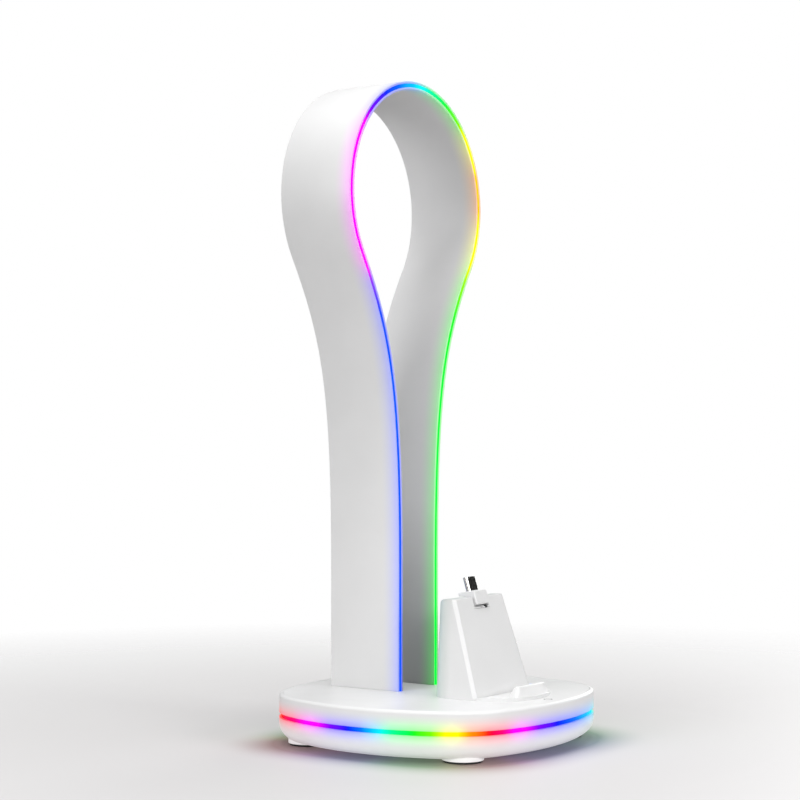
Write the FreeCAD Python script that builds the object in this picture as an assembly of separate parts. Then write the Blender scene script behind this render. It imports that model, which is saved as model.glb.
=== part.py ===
import FreeCAD, Part
import math
import os
from FreeCAD import Vector

# Headphone stand: a rounded base with a light ring, a keyhole-shaped ribbon loop that
# carries the headset, and a controller charging dock with a lift-off plug adapter.
# Millimetres. Z points up and Z = 0 is the surface the feet rest on. The origin is the
# middle of the base; -Y is the front and the loop's opening looks along Y.

# ---- driving dimensions ------------------------------------------------------------
BASE_HALF_WIDTH = 71.0
BASE_HALF_DEPTH = 68.5
CORNER_RADIUS = 38.0
CORNER_X = 27.6
CORNER_Y = 25.8
BASE_BOTTOM = 2.0
BASE_TOP = 24.0
BASE_WALL = 2.2
BASE_FLOOR = 2.0
BOTTOM_ROUND = 8.5
SHOULDER_ROUND = 1.6
RING_BOTTOM = 12.9
RING_TOP = 15.1
RING_RECESS = 1.0
RING_DEPTH = 2.6
PANEL_THICKNESS = 1.1
PANEL_INSET = 2.0
FIT_GAP = 0.1
RING_LED_COUNT = 24

FOOT_X = 45.0
FOOT_Y = 43.0
FOOT_BOSS_RADIUS = 9.4
FOOT_PAD_RADIUS = 8.7
FOOT_PAD_HEIGHT = 1.6
FOOT_BOSS_BOTTOM = 1.0

RIBBON_FRONT = 11.0
RIBBON_BACK = 50.5
RIBBON_THICKNESS = 4.0
SKIN = 1.1
LEG_X = 15.2
LEG_STRAIGHT_TOP = BASE_TOP + 56.6
LEG_BOTTOM = 9.0
LOOP_RADIUS = 54.3
LOOP_CENTRE_Z = BASE_TOP + 234.0
FLANK_ANGLE = 31.9
FLANK_LOWER_PULL = 85.8
FLANK_UPPER_PULL = 44.4
FLANK_SPANS = 8
STRIP_DEPTH = 3.0
LOOP_LED_COUNT = 44

DOCK_FOOT_HALF = 24.9
DOCK_HEAD_HALF = 21.5
DOCK_BACK = -10.3
DOCK_CORNER = 12.0
DOCK_HEIGHT = 45.3
DOCK_BACK_ROUND = 8.0
DOCK_WALL = 1.8
INCLINE_FOOT_Y = -37.3
INCLINE_HEAD_Y = -23.5
EDGE_CHAMFER = 1.5
FACE_THICKNESS = 1.6
SEAT_FRONT = -56.2
SEAT_FRONT_HALF = 20.3
SEAT_BOW = 6.3
SEAT_THICKNESS = 1.5
LIP_HEIGHT = 6.2
LIP_BACK = -47.2
LIP_TOP_HALF = 11.6
LIP_FOOT_HALF = 16.2
LIP_BACK_HALF = 14.5

PLUG_WIDTH = 8.34
PLUG_HEIGHT = 2.56
PLUG_LENGTH = 7.2
DONGLE_HALF_WIDTH = 5.6
DONGLE_HOOK_FOOT = 43.7
DONGLE_HEAD = 50.5
DONGLE_TOP_RISE = 0.9
DONGLE_FRONT = 1.35
DONGLE_BACK = -7.8
HOOK_BACK = -2.5

# ---- derived dimensions ------------------------------------------------------------
HALF_RIBBON = RIBBON_THICKNESS / 2
HALF_STRIP = HALF_RIBBON - SKIN
PLATE_TOP = BASE_TOP - PANEL_THICKNESS
PLATE_BOTTOM = PLATE_TOP - BASE_FLOOR
CAVITY_BOTTOM = BASE_BOTTOM + BASE_FLOOR
LEAN = math.atan((INCLINE_HEAD_Y - INCLINE_FOOT_Y) / DOCK_HEIGHT)
DOCK_TAPER = (DOCK_FOOT_HALF - DOCK_HEAD_HALF) / DOCK_HEIGHT
INCLINE_UP = Vector(0, math.sin(LEAN), math.cos(LEAN))
INCLINE_OUT = Vector(0, -math.cos(LEAN), math.sin(LEAN))
INCLINE_FOOT = Vector(0, INCLINE_FOOT_Y, BASE_TOP)
PLUG_CENTRE_OUT = -3.05
FOOT_PLACES = {
    "front_left": (-FOOT_X, -FOOT_Y),
    "front_right": (FOOT_X, -FOOT_Y),
    "back_left": (-FOOT_X, FOOT_Y),
    "back_right": (FOOT_X, FOOT_Y),
}


# ---- helpers -----------------------------------------------------------------------
def box(x0, x1, y0, y1, z0, z1):
    return Part.makeBox(x1 - x0, y1 - y0, z1 - z0, Vector(x0, y0, z0))


def cylinder(radius, x, y, z0, z1):
    return Part.makeCylinder(radius, z1 - z0, Vector(x, y, z0))


def fuse_all(solids):
    joined = solids[0].multiFuse(solids[1:]) if len(solids) > 1 else solids[0]
    return joined.removeSplitter()


def edges_where(shape, test):
    return [edge for edge in shape.Edges if test(edge.BoundBox)]


def flat_at(z):
    return lambda bound: abs(bound.ZMin - z) < 1e-4 and abs(bound.ZMax - z) < 1e-4


def upright(bound):
    return bound.ZLength > 1e-3 and bound.XLength < 1e-4 and bound.YLength < 1e-4


def prism(points, direction):
    return Part.Face(Part.makePolygon(points + [points[0]])).extrude(direction)


def on_incline(x, along, out):
    """A point in the dock's leaning frame: along the incline, and out of its face."""
    return INCLINE_FOOT + Vector(x, 0, 0) + INCLINE_UP * along + INCLINE_OUT * out


def leaning_box(half_width, along0, along1, out0, out1):
    corners = [
        on_incline(-half_width, along0, out0),
        on_incline(-half_width, along1, out0),
        on_incline(-half_width, along1, out1),
        on_incline(-half_width, along0, out1),
    ]
    return prism(corners, Vector(2 * half_width, 0, 0))


def leaning_stadium(width, height, along0, along1, out):
    """A flat-sided pill section that stands along the incline."""
    half = (width - height) / 2
    radius = height / 2
    side = Vector(half, 0, 0)
    centre = on_incline(0, along0, out)
    up = INCLINE_OUT * radius
    right_end = Part.Arc(centre + side + up, centre + side + Vector(radius, 0, 0), centre + side - up)
    left_end = Part.Arc(centre - side - up, centre - side - Vector(radius, 0, 0), centre - side + up)
    edges = [
        right_end.toShape(),
        Part.makeLine(centre + side - up, centre - side - up),
        left_end.toShape(),
        Part.makeLine(centre - side + up, centre + side + up),
    ]
    return Part.Face(Part.Wire(edges)).extrude(INCLINE_UP * (along1 - along0))


def back_stadium(width, height, y0, y1, z):
    """A flat-sided pill section that runs along Y, for the power inlet."""
    half = (width - height) / 2
    radius = height / 2
    middle = box(-half, half, y0, y1, z - radius, z + radius)
    ends = [
        Part.makeCylinder(radius, y1 - y0, Vector(x, y0, z), Vector(0, 1, 0))
        for x in (-half, half)
    ]
    return fuse_all([middle] + ends)


# ---- base outline ------------------------------------------------------------------
def side_arc_centre(half, corner_along, corner_across):
    """Centre offset of the long arc that meets the two corner arcs smoothly."""
    reach = half - CORNER_RADIUS
    square = corner_along ** 2 + corner_across ** 2 - reach ** 2
    return square / (2 * (corner_along - reach))


def outline(inset, z):
    """Closed base outline of eight tangent arcs, moved inwards by inset."""
    centre_y = side_arc_centre(BASE_HALF_DEPTH, CORNER_Y, CORNER_X)
    centre_x = side_arc_centre(BASE_HALF_WIDTH, CORNER_X, CORNER_Y)
    radius_y = BASE_HALF_DEPTH - centre_y - inset
    radius_x = BASE_HALF_WIDTH - centre_x - inset
    corner = CORNER_RADIUS - inset
    steep = math.atan2(CORNER_Y - centre_y, CORNER_X)
    shallow = math.atan2(CORNER_Y, CORNER_X - centre_x)

    def at(centre, radius, angle, sx, sy):
        x = sx * (centre[0] + radius * math.cos(angle))
        y = sy * (centre[1] + radius * math.sin(angle))
        return Vector(x, y, z)

    def corner_arc(sx, sy):
        angles = (shallow, (shallow + steep) / 2, steep)
        return Part.Arc(*[at((CORNER_X, CORNER_Y), corner, a, sx, sy) for a in angles]).toShape()

    def long_y_arc(sy):
        left = at((0, centre_y), radius_y, steep, -1, sy)
        right = at((0, centre_y), radius_y, steep, 1, sy)
        return Part.Arc(left, at((0, centre_y), radius_y, math.pi / 2, 1, sy), right).toShape()

    def long_x_arc(sx):
        back = at((centre_x, 0), radius_x, shallow, sx, 1)
        front = at((centre_x, 0), radius_x, shallow, sx, -1)
        return Part.Arc(back, at((centre_x, 0), radius_x, 0, sx, 1), front).toShape()

    edges = [corner_arc(sx, sy) for sx in (1, -1) for sy in (1, -1)]
    edges += [long_y_arc(1), long_y_arc(-1), long_x_arc(1), long_x_arc(-1)]
    return Part.Wire(Part.__sortEdges__(edges))


def base_slab(inset, z0, z1):
    return Part.Face(outline(inset, z0)).extrude(Vector(0, 0, z1 - z0))


def base_envelope():
    body = base_slab(0, BASE_BOTTOM, BASE_TOP)
    body = body.makeFillet(BOTTOM_ROUND, edges_where(body, flat_at(BASE_BOTTOM)))
    return body.makeFillet(SHOULDER_ROUND, edges_where(body, flat_at(BASE_TOP)))


def base_cavity():
    body = base_slab(BASE_WALL, CAVITY_BOTTOM, PLATE_BOTTOM)
    return body.makeFillet(BOTTOM_ROUND - BASE_WALL, edges_where(body, flat_at(CAVITY_BOTTOM)))


def leg_slots(z0, z1):
    gap = 2 * FIT_GAP
    inner = LEG_X - HALF_RIBBON - gap
    outer = LEG_X + HALF_RIBBON + gap
    y0 = RIBBON_FRONT - gap
    y1 = RIBBON_BACK + gap
    return [box(inner, outer, y0, y1, z0, z1), box(-outer, -inner, y0, y1, z0, z1)]


# ---- base --------------------------------------------------------------------------
SCREW_HEAD_RADIUS = 2.9
SCREW_SHANK_RADIUS = 1.45
SCREW_HEAD_BOTTOM = 3.0
SCREW_HEAD_TOP = 5.0
SCREW_TIP = 17.0
POST_SPLIT = 12.4
INLET_Z = 9.2
INLET_WIDTH = 8.94
INLET_HEIGHT = 3.16
INLET_MOUTH_Y = 67.7
INLET_INNER_Y = 60.2
BRACKET_HALF = LEG_X - HALF_RIBBON - 0.05
BRACKET_FRONT = 14.0
BRACKET_BACK = 47.0
BRACKET_SCREW_Y = (17.0, 44.0)
LEG_SCREW_Y = (22.0, 39.0)
LEG_SCREW_Z = 14.5
PEG_PLACES = ((-30.0, -12.0), (30.0, -12.0))
BOARD_BOTTOM = 8.4
BOARD_TOP = 10.0
BOARD_POST_PLACES = [(x, y) for x in (23.5, 53.5) for y in (13.0, 30.0)]


def base_bottom_shell():
    solid = base_envelope().common(box(-80, 80, -80, 80, BASE_BOTTOM, RING_BOTTOM))
    solid = solid.cut(base_cavity())
    bosses = [cylinder(FOOT_BOSS_RADIUS, x, y, FOOT_BOSS_BOTTOM, SCREW_HEAD_TOP + 1)
              for x, y in FOOT_PLACES.values()]
    posts = [cylinder(4.5, x, y, CAVITY_BOTTOM, POST_SPLIT) for x, y in FOOT_PLACES.values()]
    pegs = [cylinder(1.4, x, y, CAVITY_BOTTOM, CAVITY_BOTTOM + 3.6) for x, y in PEG_PLACES]
    solid = fuse_all([solid] + bosses + posts + pegs)
    holes = [cylinder(FOOT_PAD_RADIUS + FIT_GAP, x, y, 0, FOOT_PAD_HEIGHT)
             for x, y in FOOT_PLACES.values()]
    holes += [cylinder(SCREW_HEAD_RADIUS + 0.3, x, y, 0, SCREW_HEAD_TOP) for x, y in FOOT_PLACES.values()]
    holes += [cylinder(SCREW_SHANK_RADIUS + 0.1, x, y, 0, POST_SPLIT) for x, y in FOOT_PLACES.values()]
    holes += [cylinder(1.3, 0, y, 0, 5) for y in BRACKET_SCREW_Y]
    holes += [cylinder(2.6, 0, y, 0, CAVITY_BOTTOM - 0.6) for y in BRACKET_SCREW_Y]
    holes.append(back_stadium(INLET_WIDTH + 0.3, INLET_HEIGHT + 0.3, INLET_INNER_Y, 70, INLET_Z))
    return solid.cut(holes)


def base_top_shell():
    solid = base_envelope().common(box(-80, 80, -80, 80, RING_TOP, BASE_TOP))
    solid = solid.cut(base_cavity())
    solid = solid.cut(base_slab(PANEL_INSET - FIT_GAP, PLATE_TOP, BASE_TOP + 1))
    bosses = [cylinder(3.8, x, y, POST_SPLIT + FIT_GAP, PLATE_BOTTOM + 0.5) for x, y in FOOT_PLACES.values()]
    solid = fuse_all([solid] + bosses)
    holes = leg_slots(RING_TOP, BASE_TOP)
    holes += [cylinder(SCREW_SHANK_RADIUS + 0.02, x, y, POST_SPLIT, SCREW_TIP + 0.5)
              for x, y in FOOT_PLACES.values()]
    holes += [cylinder(DOCK_SCREW_RADIUS + 0.1, x, y, PLATE_BOTTOM - 1, BASE_TOP)
              for x, y in DOCK_SCREW_PLACES]
    holes.append(cable_hole())
    return solid.cut(holes)


def cable_hole():
    """Passage for the dock's wires through the top of the base."""
    return box(-5, 5, -30, -24, PLATE_BOTTOM - 1, BASE_TOP + 1)


def base_top_panel():
    solid = base_slab(PANEL_INSET, PLATE_TOP, BASE_TOP)
    holes = leg_slots(PLATE_TOP, BASE_TOP)
    holes += [cylinder(DOCK_SCREW_RADIUS + 0.1, x, y, PLATE_TOP - 1, BASE_TOP + 1)
              for x, y in DOCK_SCREW_PLACES]
    holes.append(cable_hole())
    holes.append(touch_ring(TOUCH_MARK_DEPTH))
    return solid.cut(holes)


def light_ring():
    outer = base_slab(RING_RECESS, RING_BOTTOM, RING_TOP)
    return outer.cut(base_slab(RING_RECESS + RING_DEPTH, RING_BOTTOM, RING_TOP))


def ring_led_tape():
    inset = RING_RECESS + RING_DEPTH + 1.0
    outer = base_slab(inset, RING_BOTTOM - 0.6, RING_TOP + 0.6)
    return outer.cut(base_slab(inset + 0.4, RING_BOTTOM - 0.6, RING_TOP + 0.6))


def ring_leds():
    """Side-firing lamps evenly spaced on the tape behind the light ring."""
    path = outline(RING_RECESS + RING_DEPTH + 0.5, (RING_BOTTOM + RING_TOP) / 2)
    points = path.discretize(Number=RING_LED_COUNT + 1)[:RING_LED_COUNT]
    lamps = []
    for before, here, after in zip(points[-1:] + points, points, points[1:] + points[:1]):
        run = after - before
        lamp = Part.makeBox(2.2, 0.7, 1.6, Vector(-1.1, -0.35, -0.8))
        lamp.rotate(Vector(0, 0, 0), Vector(0, 0, 1), math.degrees(math.atan2(run.y, run.x)))
        lamp.translate(here)
        lamps.append(lamp)
    return Part.makeCompound(lamps)


def ballast_plate():
    plate = box(-38, 38, -44, 8, CAVITY_BOTTOM, CAVITY_BOTTOM + 3.0)
    plate = plate.makeFillet(6.0, edges_where(plate, upright))
    holes = [cylinder(1.5, x, y, 0, 20) for x, y in PEG_PLACES]
    holes += [cylinder(FOOT_BOSS_RADIUS + 0.4, x, y, 0, 20) for x, y in FOOT_PLACES.values()]
    return plate.cut(holes)


def foot_pad(x, y):
    pad = cylinder(FOOT_PAD_RADIUS, x, y, 0, FOOT_PAD_HEIGHT)
    return pad.makeFillet(0.4, edges_where(pad, flat_at(0)))


def pan_screw(radius, head_radius, head_height, x, y, head_z, tip_z):
    """Screw with its head below and its shank pointing up, and a cross recess."""
    head = cylinder(head_radius, x, y, head_z, head_z + head_height)
    head = head.makeFillet(head_height * 0.3, edges_where(head, flat_at(head_z)))
    shank = cylinder(radius, x, y, head_z + head_height, tip_z)
    slot = head_radius * 0.62
    cross = [
        box(x - slot, x + slot, y - 0.25, y + 0.25, head_z - 1, head_z + head_height * 0.55),
        box(x - 0.25, x + 0.25, y - slot, y + slot, head_z - 1, head_z + head_height * 0.55),
    ]
    return fuse_all([head, shank]).cut(cross)


def base_screws():
    return Part.makeCompound([
        pan_screw(SCREW_SHANK_RADIUS, SCREW_HEAD_RADIUS, SCREW_HEAD_TOP - SCREW_HEAD_BOTTOM,
                  x, y, SCREW_HEAD_BOTTOM, SCREW_TIP)
        for x, y in FOOT_PLACES.values()
    ])


def power_socket_shell():
    outer = back_stadium(INLET_WIDTH, INLET_HEIGHT, INLET_INNER_Y, INLET_MOUTH_Y, INLET_Z)
    inner = back_stadium(INLET_WIDTH - 0.6, INLET_HEIGHT - 0.6, INLET_INNER_Y + 0.6, 70, INLET_Z)
    return outer.cut(inner)


def power_socket_tongue():
    return box(-3.35, 3.35, INLET_INNER_Y + 0.6, INLET_MOUTH_Y - 1.4, INLET_Z - 0.35, INLET_Z + 0.35)


def power_board():
    board = box(-12, 12, 51.5, 63.2, INLET_Z - INLET_HEIGHT / 2 - 1.2, INLET_Z - INLET_HEIGHT / 2)
    return board.cut(cylinder(1.1, 9.0, 54.5, 0, 20)).cut(cylinder(1.1, -9.0, 54.5, 0, 20))


def main_board():
    board = box(20, 57, 9.5, 33.5, BOARD_BOTTOM, BOARD_TOP)
    board = board.makeFillet(2.0, edges_where(board, upright))
    return board.cut([cylinder(1.3, x, y, 0, 20) for x, y in BOARD_POST_PLACES])


def main_board_chips():
    """Controller, two driver chips, a coil and two wire connectors."""
    places = (
        (27, 34, 18, 25, 1.2),
        (38, 42, 15, 20, 1.4),
        (38, 42, 23, 28, 1.4),
        (28, 34, 11, 16, 3.0),
        (47, 52, 16, 21, 5.0),
        (47, 52, 23, 28, 5.0),
    )
    return Part.makeCompound([
        box(x0, x1, y0, y1, BOARD_TOP, BOARD_TOP + height) for x0, x1, y0, y1, height in places
    ])


def board_posts():
    """Stand-off pillars that carry the main board."""
    return Part.makeCompound([
        cylinder(2.6, x, y, CAVITY_BOTTOM, BOARD_BOTTOM).cut(cylinder(1.0, x, y, 0, 20))
        for x, y in BOARD_POST_PLACES
    ])


def board_screws():
    screws = []
    for x, y in BOARD_POST_PLACES:
        head = cylinder(2.2, x, y, BOARD_TOP, BOARD_TOP + 1.4)
        shank = cylinder(0.95, x, y, CAVITY_BOTTOM + 0.6, BOARD_TOP)
        screws.append(fuse_all([head, shank]))
    return Part.makeCompound(screws)


TOUCH_Y = -60.5
TOUCH_MARK_DEPTH = 0.3


def touch_ring(depth):
    outer = cylinder(2.1, 0, TOUCH_Y, BASE_TOP - depth, BASE_TOP)
    return outer.cut(cylinder(1.6, 0, TOUCH_Y, BASE_TOP - depth, BASE_TOP))


def touch_mark():
    return touch_ring(TOUCH_MARK_DEPTH)


def touch_sensor():
    """Copper-faced sensing pad that lies against the underside of the base's top plate."""
    return cylinder(4.0, 0, TOUCH_Y + 1.0, PLATE_BOTTOM - 0.8, PLATE_BOTTOM)


# ---- post: anchor and ribbon loop --------------------------------------------------
def post_bracket():
    block = box(-BRACKET_HALF, BRACKET_HALF, BRACKET_FRONT, BRACKET_BACK, CAVITY_BOTTOM, PLATE_BOTTOM)
    wells = [box(-8, 8, 20, 41, CAVITY_BOTTOM + 3.0, PLATE_BOTTOM + 1)]
    wells += [cylinder(1.2, 0, y, 0, 14) for y in BRACKET_SCREW_Y]
    wells += leg_screw_bores(1.25)
    return block.cut(wells)


def bracket_screws():
    return Part.makeCompound([
        pan_screw(1.15, 2.4, 1.3, 0, y, CAVITY_BOTTOM - 1.9, 12.0) for y in BRACKET_SCREW_Y
    ])


def leg_screw_bores(radius):
    length = 2 * (LEG_X + HALF_RIBBON + 4)
    return [
        Part.makeCylinder(radius, length, Vector(-length / 2, y, LEG_SCREW_Z), Vector(1, 0, 0))
        for y in LEG_SCREW_Y
    ]


def leg_screws():
    """Four screws that clamp the two legs against the bracket's sides."""
    screws = []
    face = LEG_X + HALF_RIBBON
    for side in (-1, 1):
        outward = Vector(side, 0, 0)
        for y in LEG_SCREW_Y:
            start = Vector(side * face, y, LEG_SCREW_Z)
            head = Part.makeCylinder(2.3, 1.4, start, outward)
            shank = Part.makeCylinder(1.2, 10.0, start, outward * -1)
            screws.append(fuse_all([head, shank]))
    return Part.makeCompound(screws)


def flank_point(part, offset):
    """Point on the flank between leg (part = 0) and loop (part = 1), moved out by offset."""
    angle = math.radians(FLANK_ANGLE)
    start = (LEG_X, LEG_STRAIGHT_TOP)
    end = (LOOP_RADIUS * math.cos(angle), LOOP_CENTRE_Z - LOOP_RADIUS * math.sin(angle))
    lower = (start[0], start[1] + FLANK_LOWER_PULL)
    upper = (end[0] - FLANK_UPPER_PULL * math.sin(angle), end[1] - FLANK_UPPER_PULL * math.cos(angle))
    poles = (start, lower, upper, end)
    rest = 1 - part
    weights = (rest ** 3, 3 * rest * rest * part, 3 * rest * part * part, part ** 3)
    slopes = (-3 * rest * rest, 3 * rest * rest - 6 * rest * part, 6 * rest * part - 3 * part * part,
              3 * part * part)
    x = sum(w * pole[0] for w, pole in zip(weights, poles))
    z = sum(w * pole[1] for w, pole in zip(weights, poles))
    dx = sum(s * pole[0] for s, pole in zip(slopes, poles))
    dz = sum(s * pole[1] for s, pole in zip(slopes, poles))
    length = math.hypot(dx, dz)
    return Vector(x + offset * dz / length, 0, z - offset * dx / length)


def flank_edge(offset, side):
    """Smooth flank curve; side is +1 for the right flank and -1 for the left one."""
    angle = math.radians(FLANK_ANGLE)
    points = [flank_point(i / FLANK_SPANS, offset) for i in range(FLANK_SPANS + 1)]
    points = [Vector(side * p.x, 0, p.z) for p in points]
    curve = Part.BSplineCurve()
    curve.interpolate(
        Points=points,
        InitialTangent=Vector(0, 0, 1),
        FinalTangent=Vector(side * math.sin(angle), 0, math.cos(angle)),
    )
    return curve.toShape()


def ribbon_path(offset, bottom):
    """Edges of the keyhole outline from the right leg's foot over the loop to the left's."""
    angle = math.radians(FLANK_ANGLE)
    radius = LOOP_RADIUS + offset
    leg = LEG_X + offset
    cos_end = radius * math.cos(angle)
    sin_end = radius * math.sin(angle)
    right = Vector(cos_end, 0, LOOP_CENTRE_Z - sin_end)
    left = Vector(-cos_end, 0, LOOP_CENTRE_Z - sin_end)
    crown = Vector(0, 0, LOOP_CENTRE_Z + radius)
    return [
        Part.makeLine(Vector(leg, 0, bottom), Vector(leg, 0, LEG_STRAIGHT_TOP)),
        flank_edge(offset, 1),
        Part.Arc(right, crown, left).toShape(),
        flank_edge(offset, -1),
        Part.makeLine(Vector(-leg, 0, LEG_STRAIGHT_TOP), Vector(-leg, 0, bottom)),
    ]


def ribbon(inner, outer, y0, y1, bottom=LEG_BOTTOM):
    """Keyhole ribbon between two offsets from the middle line, from y0 to y1."""
    feet = [
        Part.makeLine(Vector(side * (LEG_X + inner), 0, bottom), Vector(side * (LEG_X + outer), 0, bottom))
        for side in (1, -1)
    ]
    edges = ribbon_path(inner, bottom) + ribbon_path(outer, bottom) + feet
    face = Part.Face(Part.Wire(Part.__sortEdges__(edges)))
    solid = face.extrude(Vector(0, y1 - y0, 0))
    solid.translate(Vector(0, y0, 0))
    return solid


def loop_outer_skin():
    skin = ribbon(HALF_STRIP, HALF_RIBBON, RIBBON_FRONT, RIBBON_BACK)
    back_edge = ribbon(-HALF_STRIP, HALF_STRIP, RIBBON_BACK - SKIN, RIBBON_BACK)
    return fuse_all([skin, back_edge]).cut(leg_screw_bores(1.3))


def loop_inner_skin():
    return ribbon(-HALF_RIBBON, -HALF_STRIP, RIBBON_FRONT, RIBBON_BACK).cut(leg_screw_bores(1.3))


def loop_core():
    """Stiffening ribbon between the two skins, behind the light strip."""
    half = HALF_STRIP - 0.02
    core = ribbon(-half, half, RIBBON_FRONT + STRIP_DEPTH + 2.0, RIBBON_BACK - SKIN)
    return core.cut(leg_screw_bores(1.3))


def loop_light_strip():
    half = HALF_STRIP - 0.01
    return ribbon(-half, half, RIBBON_FRONT, RIBBON_FRONT + STRIP_DEPTH, BASE_TOP - 4.0)


def loop_led_tape():
    y0 = RIBBON_FRONT + STRIP_DEPTH + 1.2
    return ribbon(-0.7, 0.7, y0, y0 + 0.3, BASE_TOP - 6.0)


def loop_leds():
    """Lamps on the tape, facing forward into the light strip."""
    y0 = RIBBON_FRONT + STRIP_DEPTH + 0.3
    path = Part.Wire(ribbon_path(0, BASE_TOP + 2.0))
    points = path.discretize(Number=LOOP_LED_COUNT + 2)
    lamps = []
    for before, here, after in zip(points, points[1:], points[2:]):
        run = after - before
        turn = -math.degrees(math.atan2(run.z, run.x))
        lamp = Part.makeBox(1.6, 0.9, 1.0, Vector(-0.8, 0, -0.5))
        lamp.rotate(Vector(0, 0, 0), Vector(0, 1, 0), turn)
        lamp.translate(Vector(here.x, y0, here.z))
        lamps.append(lamp)
    return Part.makeCompound(lamps)


# ---- dock --------------------------------------------------------------------------
DOCK_SCREW_PLACES = ((-13.0, -17.0), (13.0, -17.0), (-8.0, -51.6), (8.0, -51.6))
DOCK_SCREW_RADIUS = 1.15
POCKET_HALF = 6.7
POCKET_FOOT = 42.1
POCKET_DEPTH = 4.7
CONTACT_X = 2.2
CONTACT_ALONG = 45.3
LEDGE_DEPTH = 3.4


def dock_half(z):
    """Half width of the dock at a height; its sides draw in as they rise."""
    return DOCK_FOOT_HALF - DOCK_TAPER * (z - BASE_TOP)


def tower(inset, z0, top, front_out):
    """Dock body: tapering sides, rounded back and crown and leaning front, inset all round."""
    outlines = []
    for z in (z0, top):
        half = dock_half(z) - inset
        slab = box(-half, half, -50, DOCK_BACK - inset, z, z + 1)
        rear = edges_where(slab, lambda b: upright(b) and b.YMin > -30)
        slab = slab.makeFillet(DOCK_CORNER - inset, rear)
        floor = min(slab.Faces, key=lambda face: face.CenterOfMass.z)
        outlines.append(floor.OuterWire)
    plan = Part.makeLoft(outlines, True, True)
    crown = DOCK_BACK_ROUND - inset
    back = DOCK_BACK - inset
    mid = crown * (1 - math.sqrt(0.5))
    arc = Part.Arc(
        Vector(-40, back - crown, top),
        Vector(-40, back - mid, top - mid),
        Vector(-40, back, top - crown),
    ).toShape()
    foot = on_incline(-40, -5, front_out)
    head = on_incline(-40, 60, front_out)
    corners = [Vector(-40, back, top - crown), Vector(-40, back, z0 - 5), Vector(-40, foot.y, z0 - 5)]
    corners += [foot, head, Vector(-40, back - crown, head.z), Vector(-40, back - crown, top)]
    lines = [Part.makeLine(a, b) for a, b in zip(corners, corners[1:])]
    profile = Part.Face(Part.Wire([arc] + lines)).extrude(Vector(80, 0, 0))
    return plan.common(profile)


def face_half(along, inset):
    """Half width of the dock's front at a distance up the incline, less an inset."""
    return DOCK_FOOT_HALF - DOCK_TAPER * math.cos(LEAN) * along - inset


def leaning_taper(inset, along0, along1, out0, out1):
    """Slab along the incline whose long edges follow the dock's tapering sides."""
    low, high = face_half(along0, inset), face_half(along1, inset)
    corners = [on_incline(-low, along0, out0), on_incline(low, along0, out0),
               on_incline(high, along1, out0), on_incline(-high, along1, out0)]
    return prism(corners, INCLINE_OUT * (out1 - out0))


def long_chamfer(side):
    """Wedge that takes off the long edge between the leaning face and one side of the dock."""
    edge = side * face_half(-5, 0)
    corners = [
        on_incline(edge - side * (EDGE_CHAMFER + 1), -5, 1),
        on_incline(edge + side, -5, -EDGE_CHAMFER - 1),
        on_incline(edge + side, -5, 1),
    ]
    upward = INCLINE_UP - Vector(side * DOCK_TAPER * math.cos(LEAN), 0, 0)
    return prism(corners, upward * 60)


def dock_shell():
    top = BASE_TOP + DOCK_HEIGHT
    body = tower(0, BASE_TOP, top, 0)
    body = body.cut([long_chamfer(side) for side in (-1, 1)])
    cavity = tower(DOCK_WALL, BASE_TOP + DOCK_WALL, top - DOCK_WALL, -LEDGE_DEPTH)
    body = body.cut(cavity)
    posts = [cylinder(3.0, x, y, BASE_TOP, BASE_TOP + 12) for x, y in DOCK_SCREW_PLACES[:2]]
    body = fuse_all([body] + posts)
    rim = EDGE_CHAMFER + 0.1
    cuts = [cylinder(DOCK_SCREW_RADIUS + 0.02, x, y, BASE_TOP - 1, BASE_TOP + 9)
            for x, y in DOCK_SCREW_PLACES[:2]]
    cuts.append(leaning_taper(rim, 0.8, 60, -FACE_THICKNESS, 1))
    cuts.append(leaning_taper(rim + 2.6, 3.0, 44.0, -LEDGE_DEPTH - 1, 1))
    cuts.append(pocket_space(FIT_GAP))
    cuts.append(cable_hole())
    return body.cut(cuts)


def pocket_space(gap):
    return leaning_box(POCKET_HALF + gap, POCKET_FOOT - gap, 60, -POCKET_DEPTH - gap, 1)


def dock_face_panel():
    panel = leaning_taper(EDGE_CHAMFER + 0.1 + FIT_GAP, 0.9, 60, -FACE_THICKNESS, 0)
    panel = panel.common(box(-40, 40, -60, 0, BASE_TOP, BASE_TOP + DOCK_HEIGHT))
    return panel.cut(pocket_space(FIT_GAP))


def dock_pocket():
    """Tray that the adapter's hook drops into."""
    tray = leaning_box(POCKET_HALF, POCKET_FOOT, 60, -POCKET_DEPTH, -0.05)
    tray = tray.common(box(-40, 40, -60, 0, BASE_TOP, BASE_TOP + DOCK_HEIGHT))
    hollow = leaning_box(POCKET_HALF - 0.6, POCKET_FOOT + 0.6, 60, HOOK_BACK - 0.3, 1)
    return tray.cut([hollow] + contact_pins(0.0))


def contact_pins(gap):
    pins = []
    for x in (-CONTACT_X, CONTACT_X):
        start = on_incline(x, CONTACT_ALONG, -POCKET_DEPTH - 0.6)
        length = POCKET_DEPTH + 0.6 + HOOK_BACK - 0.05
        pins.append(Part.makeCylinder(0.7 + gap, length, start, INCLINE_OUT))
    return pins


def dock_contacts():
    return Part.makeCompound(contact_pins(-0.02))


def dock_magnets():
    top = BASE_TOP + DOCK_HEIGHT - DOCK_WALL - 0.3
    return Part.makeCompound([cylinder(1.2, x, -17.9, top - 1.5, top) for x in (-4.4, 4.4)])


def dock_board():
    """Charging board that stands behind the leaning face."""
    return leaning_box(11, 8, 38, -LEDGE_DEPTH - 2.6, -LEDGE_DEPTH - 1.4)


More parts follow.
